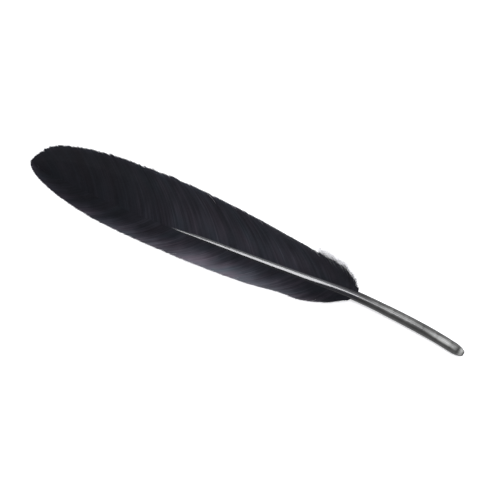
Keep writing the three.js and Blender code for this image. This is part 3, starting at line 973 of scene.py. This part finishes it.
def downy_barb(x0, share, spread, local):
    """One loose barb, its rib and its barbules, from low on the shaft past the edge."""
    centre, _, sideways, up = (v[0] for v in shaft_at(np.array([x0])))
    root = centre - sideways * DOWN_ROOT_ASIDE - up * DOWN_ROOT_BELOW
    edge = WIDE.edge_point(np.array([share]))[0]
    outward = unit(edge - root[:2])
    reach = np.linalg.norm(edge - root[:2]) + spread
    t = np.linspace(0, 1, DOWN_STEPS)
    curl = local.uniform(-0.10, 0.18) * reach
    plan = (root[:2] + outward * (reach * t)[:, None]
            + np.array([-outward[1], outward[0]]) * (curl * t**2)[:, None])
    z = root[2] + (local.uniform(0.2, 1.1) - root[2]) * t**0.45
    line = np.column_stack([plan, z])
    parts = [strand(line, DOWN_RAMUS, 4)]
    for k in np.arange(BARBULES_FROM, BARBULES_TO, BARBULE_PITCH) * (DOWN_STEPS - 1):
        base = np.array([np.interp(k, np.arange(DOWN_STEPS), line[:, c]) for c in range(3)])
        along = unit(line[int(k) + 1] - line[int(k)])
        for side in (-1, 1):
            beside = unit(np.cross(along, (0, 0, 1.0))) * side
            s = np.linspace(0, 1, 5)[:, None]
            hair = (base + (along * 0.7 + beside) * s * local.uniform(0.4, 1.1)
                    + np.array([0, 0, 0.2]) * s**2 * local.uniform(-1, 1))
            parts.append(strand(hair, BARBULE_RADIUS, 3))
    return parts


def build_down(seed):
    """Loose downy barbs that leave the shaft low down and show past the edge."""
    local = np.random.default_rng(seed)
    for tuft in range(DOWN_TUFTS):
        parts = []
        for _ in range(DOWN_BARBS):
            x0 = DOWN_FIRST + DOWN_PITCH * tuft + local.uniform(-0.6, 0.9)
            share = DOWN_FIRST_SHARE + DOWN_SHARE_PITCH * tuft + local.uniform(-0.015, 0.025)
            spread = local.uniform(0.5, 2.7 - 0.4 * (tuft - 1.5) ** 2)
            parts += downy_barb(x0, share, spread, local)
        points, faces = merge(parts)
        points[:, 2] = np.maximum(points[:, 2], DOWN_CLEARANCE)
        make_piece(f"down_wisps_{tuft + 1}", points, faces, DOWN_GREY,
                   [f"down_tuft_{tuft + 1}"], None, {"skin_place": points})


# -------------------------------------------------------- floor, light, camera

FLOOR_GLOW = 0.42  # the paper is lit from below too, which washes the shadows out
FLOOR_HALF = 4.0  # metres


def build_stage():
    """A sheet of white paper under the feather."""
    material, tree, shader = new_material("paper_floor")
    place = add_node(tree, "ShaderNodeTexCoord").outputs["Object"]
    fibre = noise(tree, place, 900.0, 3.0)
    tree.links.new(ramp(tree, fibre, [(0.2, grey(0.90)), (0.8, grey(0.94))]),
                   shader.inputs["Base Color"])
    shader.inputs["Roughness"].default_value = 0.9
    shader.inputs["Specular IOR Level"].default_value = 0.1
    shader.inputs["Emission Color"].default_value = (1, 1, 1, 1)
    shader.inputs["Emission Strength"].default_value = FLOOR_GLOW
    corners = [(-1, -1, 0), (1, -1, 0), (1, 1, 0), (-1, 1, 0)]
    mesh = bpy.data.meshes.new("floor")
    mesh.from_pydata([Vector(corner) * FLOOR_HALF for corner in corners], [], [(0, 1, 2, 3)])
    mesh.materials.append(material)
    floor = bpy.data.objects.new("floor", mesh)
    bpy.context.scene.collection.objects.link(floor)


def sun(name, toward, width, power, colour):
    """A distant softbox that is width degrees across, in the direction toward."""
    light = bpy.data.lights.new(name, "SUN")
    light.angle = math.radians(width)
    light.energy = power
    light.color = colour
    lamp = bpy.data.objects.new(name, light)
    lamp.rotation_mode = "QUATERNION"
    lamp.rotation_quaternion = (-Vector(toward)).to_track_quat("-Z", "Y")
    bpy.context.scene.collection.objects.link(lamp)


def build_light():
    """White walls low down and a grey sky, with a key light and a fill light."""
    world = bpy.data.worlds.new("studio")
    world.use_nodes = True
    tree = world.node_tree
    sky = add_node(tree, "ShaderNodeTexCoord").outputs["Generated"]
    height = add_node(tree, "ShaderNodeSeparateXYZ", {"Vector": sky}).outputs["Z"]
    walls = ramp(tree, height, [(0.10, grey(1.0)), (0.32, (0.26, 0.26, 0.275))])
    tree.links.new(walls, tree.nodes["Background"].inputs["Color"])
    bpy.context.scene.world = world
    sun("key", toward=(-0.035, -0.17, 1.0), width=22, power=2.0, colour=(0.97, 0.97, 1.0))
    sun("fill", toward=(0.0, -0.65, 0.75), width=46, power=1.1, colour=(0.96, 0.97, 1.0))
    bpy.context.scene.view_settings.view_transform = "Standard"


CAMERA_ROLL = math.radians(203.6)  # the tip points left and a little up
VIEW_WIDTH = 0.166  # metres across the picture at the feather
LENS, SENSOR = 135.0, 36.0


def build_camera():
    data = bpy.data.cameras.new("camera")
    data.lens, data.sensor_width = LENS, SENSOR
    camera = bpy.data.objects.new("camera", data)
    low, high = CAD_BOX
    height = VIEW_WIDTH * LENS / SENSOR
    camera.location = ((low.x + high.x) / 2, (low.y + high.y) / 2, high.z / 2 + height)
    camera.rotation_euler = (0, 0, CAMERA_ROLL)
    bpy.context.scene.collection.objects.link(camera)
    bpy.context.scene.camera = camera


# ------------------------------------------------------------------------ make

build_camera()
build_light()
build_stage()
build_barrel()
build_rachis()
build_vane(WIDE, seed=101)
build_vane(NARROW, seed=202)
build_tip(seed=303)
build_pulp_cups()
build_pith()
build_down(seed=404)
